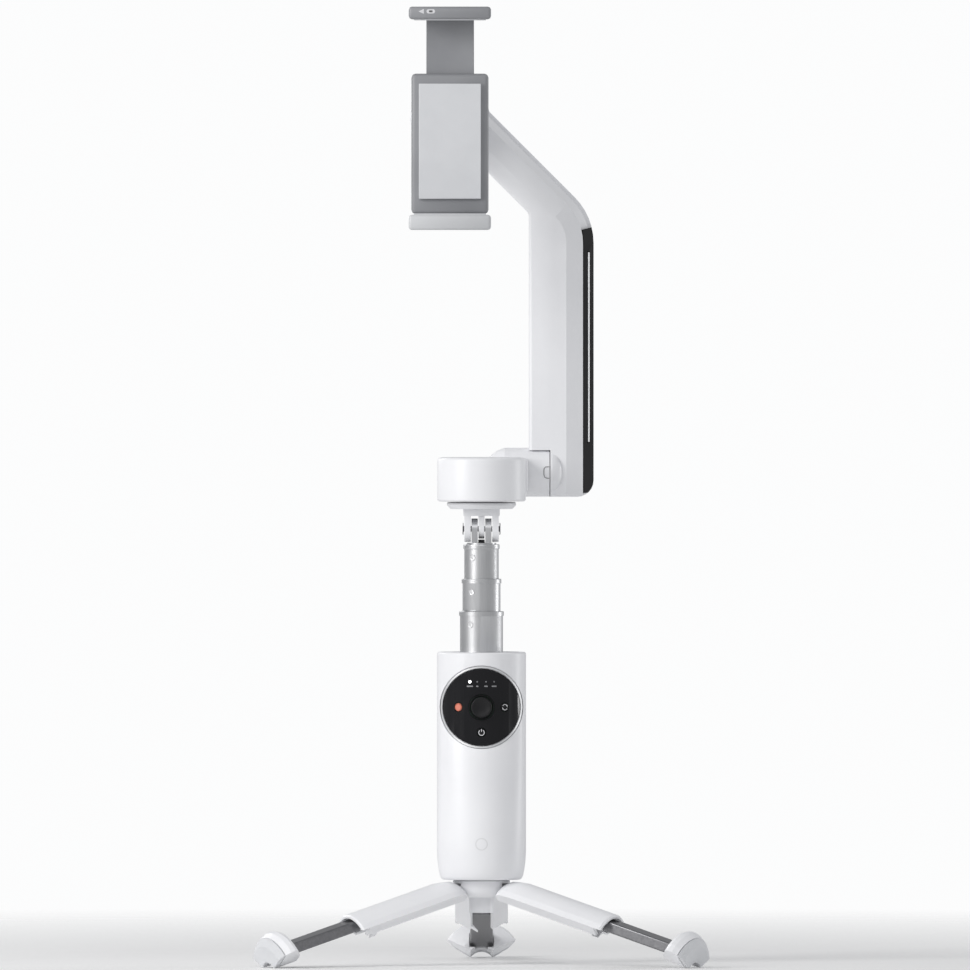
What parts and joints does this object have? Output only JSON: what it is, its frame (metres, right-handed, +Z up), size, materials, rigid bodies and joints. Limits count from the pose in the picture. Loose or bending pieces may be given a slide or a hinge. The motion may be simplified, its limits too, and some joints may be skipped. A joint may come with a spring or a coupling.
{
  "type": "gimbal stabilizer",
  "caption": "Hand-held phone gimbal: a round handle with a control pad and fold-out tripod, a telescoping stick, motorised folding arm and a spring clamp.",
  "frame": {"origin": "centre of the footprint on the floor that the open tripod stands on", "axes": "+Z up along the handle, -Y towards the user and the control panel, +X to the arm's side"},
  "size_m": [0.1818, 0.1602, 0.3826],
  "materials": {
    "white_plastic": "fine satin",
    "grey_plastic": "satin",
    "pale_grey_plastic": "satin",
    "black_gloss": "polished",
    "black_plastic": "satin",
    "brushed_aluminium": "brushed along its length",
    "dark_metal": "brushed",
    "brass": "machined",
    "pale_rubber": "matt",
    "coral_plastic": "satin",
    "board_green": "lacquered",
    "cell_blue": "wrapped"
  },
  "bodies": {
    "handle": {"handle_shell": "white_plastic", "handle_top_cap": "white_plastic", "panel_bezel": "brushed_aluminium", "control_panel": "black_gloss", "control_board": "board_green", "battery_pack": "cell_blue", "stick_sleeve": "black_plastic", "tripod_hub": "white_plastic", "thread_insert": "brass", "left_leg_pin": "dark_metal", "right_leg_pin": "dark_metal", "rear_leg_pin": "dark_metal", "usb_port": "dark_metal", "joystick_ring": "black_plastic"},
    "joystick_yoke_body": {"joystick_yoke": "black_plastic"},
    "joystick": {"joystick_cap": "black_plastic"},
    "record_key": {"record_button": "coral_plastic"},
    "switch_key": {"switch_button": "black_gloss"},
    "power_key": {"power_button": "black_gloss"},
    "trigger_key": {"trigger": "white_plastic"},
    "left_leg": {"left_leg_shell": "white_plastic"},
    "right_leg": {"right_leg_shell": "white_plastic"},
    "rear_leg": {"rear_leg_shell": "white_plastic"},
    "left_toe": {"left_leg_bar": "dark_metal", "left_foot": "white_plastic", "left_foot_pad": "pale_rubber"},
    "right_toe": {"right_leg_bar": "dark_metal", "right_foot": "white_plastic", "right_foot_pad": "pale_rubber"},
    "rear_toe": {"rear_leg_bar": "dark_metal", "rear_foot": "white_plastic", "rear_foot_pad": "pale_rubber"},
    "lower_tube": {"stick_tube_lower": "brushed_aluminium"},
    "middle_tube": {"stick_tube_middle": "brushed_aluminium"},
    "upper_tube": {"stick_tube_upper": "brushed_aluminium", "stick_fork": "brushed_aluminium"},
    "head": {"head_base": "white_plastic", "head_hinge_pin": "dark_metal", "pan_stator": "dark_metal"},
    "pan": {"pan_housing": "white_plastic", "pan_top_cap": "white_plastic", "fold_yoke": "white_plastic", "fold_pin": "dark_metal"},
    "arm": {"arm_shell": "white_plastic", "arm_back_cover": "white_plastic", "arm_side_strip": "black_gloss", "arm_trim_line": "brushed_aluminium", "roll_motor_cover": "white_plastic"},
    "roll": {"roll_rotor": "white_plastic", "roll_bracket": "white_plastic", "tilt_motor_can": "dark_metal"},
    "clamp": {"tilt_bracket": "white_plastic", "magnet_plate": "brushed_aluminium", "clamp_body": "grey_plastic", "clamp_pad": "pale_rubber", "lower_jaw": "pale_grey_plastic", "lower_jaw_pad": "pale_rubber"},
    "jaw": {"upper_jaw": "grey_plastic", "upper_jaw_pad": "pale_rubber"}
  },
  "joints": [
    {"name": "left_leg_hinge", "type": "hinge", "parent": "handle", "child": "left_leg", "pos_m": [-0.00485, -0.0233, 0.02988], "axis": [0.5, -0.866, 0], "range_deg": [0, 73.5]},
    {"name": "right_leg_hinge", "type": "hinge", "parent": "handle", "child": "right_leg", "pos_m": [0.00485, -0.0233, 0.02988], "axis": [0.5, 0.866, 0], "range_deg": [0, 73.5]},
    {"name": "rear_leg_hinge", "type": "hinge", "parent": "handle", "child": "rear_leg", "pos_m": [0, -0.0149, 0.02988], "axis": [-1, 0, 0], "range_deg": [0, 73.5]},
    {"name": "left_leg_slide", "type": "slide", "parent": "left_leg", "child": "left_toe", "axis": [-0.8304, -0.4794, -0.284], "range_m": [-0.022, 0]},
    {"name": "right_leg_slide", "type": "slide", "parent": "right_leg", "child": "right_toe", "axis": [0.8304, -0.4794, -0.284], "range_m": [-0.022, 0]},
    {"name": "rear_leg_slide", "type": "slide", "parent": "rear_leg", "child": "rear_toe", "axis": [0, 0.9588, -0.284], "range_m": [-0.022, 0]},
    {"name": "lower_tube_slide", "type": "slide", "parent": "handle", "child": "lower_tube", "axis": [0, 0, 1], "range_m": [-0.0141, 0.055]},
    {"name": "middle_tube_slide", "type": "slide", "parent": "lower_tube", "child": "middle_tube", "axis": [0, 0, 1], "range_m": [-0.0109, 0.055]},
    {"name": "upper_tube_slide", "type": "slide", "parent": "middle_tube", "child": "upper_tube", "axis": [0, 0, 1], "range_m": [-0.0117, 0.054]},
    {"name": "head_tilt", "type": "hinge", "parent": "upper_tube", "child": "head", "pos_m": [0, -0.0155, 0.174], "axis": [1, 0, 0], "range_deg": [-60, 90]},
    {"name": "pan", "type": "hinge", "parent": "head", "child": "pan", "pos_m": [0, -0.0155, 0.194], "axis": [0, 0, 1], "range_deg": [-230, 100]},
    {"name": "arm_fold", "type": "hinge", "parent": "pan", "child": "arm", "pos_m": [0.02, 0.0115, 0.1964], "axis": [-1, 0, 0], "range_deg": [0, 160]},
    {"name": "roll", "type": "hinge", "parent": "arm", "child": "roll", "pos_m": [-0.0126, 0.00081, 0.3384], "axis": [0, 1, 0], "range_deg": [-240, 66]},
    {"name": "tilt", "type": "hinge", "parent": "roll", "child": "clamp", "pos_m": [-0.0126, -0.0205, 0.3384], "axis": [-1, 0, 0], "range_deg": [-60, 80]},
    {"name": "jaw_slide", "type": "slide", "parent": "clamp", "child": "jaw", "axis": [0, 0, 1], "range_m": [-0.013, 0.007]},
    {"name": "joystick_up_down", "type": "hinge", "parent": "handle", "child": "joystick_yoke_body", "pos_m": [0, -0.03451, 0.103], "axis": [1, 0, 0], "range_deg": [-12, 12], "stiffness_Nm_per_rad": 0.02},
    {"name": "joystick_left_right", "type": "hinge", "parent": "joystick_yoke_body", "child": "joystick", "pos_m": [0, -0.03451, 0.103], "axis": [0, 0, 1], "range_deg": [-12, 12], "stiffness_Nm_per_rad": 0.02},
    {"name": "record_press", "type": "slide", "parent": "handle", "child": "record_key", "axis": [0.5196, 0.8544, 0], "range_m": [0, 0.0004], "stiffness_N_per_m": 400},
    {"name": "switch_press", "type": "slide", "parent": "handle", "child": "switch_key", "axis": [-0.5196, 0.8544, 0], "range_m": [0, 0.0004], "stiffness_N_per_m": 400},
    {"name": "power_press", "type": "slide", "parent": "handle", "child": "power_key", "axis": [0, 1, 0], "range_m": [0, 0.0004], "stiffness_N_per_m": 400},
    {"name": "trigger_pull", "type": "hinge", "parent": "handle", "child": "trigger_key", "pos_m": [0, -0.0035, 0.1126], "axis": [-1, 0, 0], "range_deg": [0, 4], "stiffness_Nm_per_rad": 0.1}
  ]
}
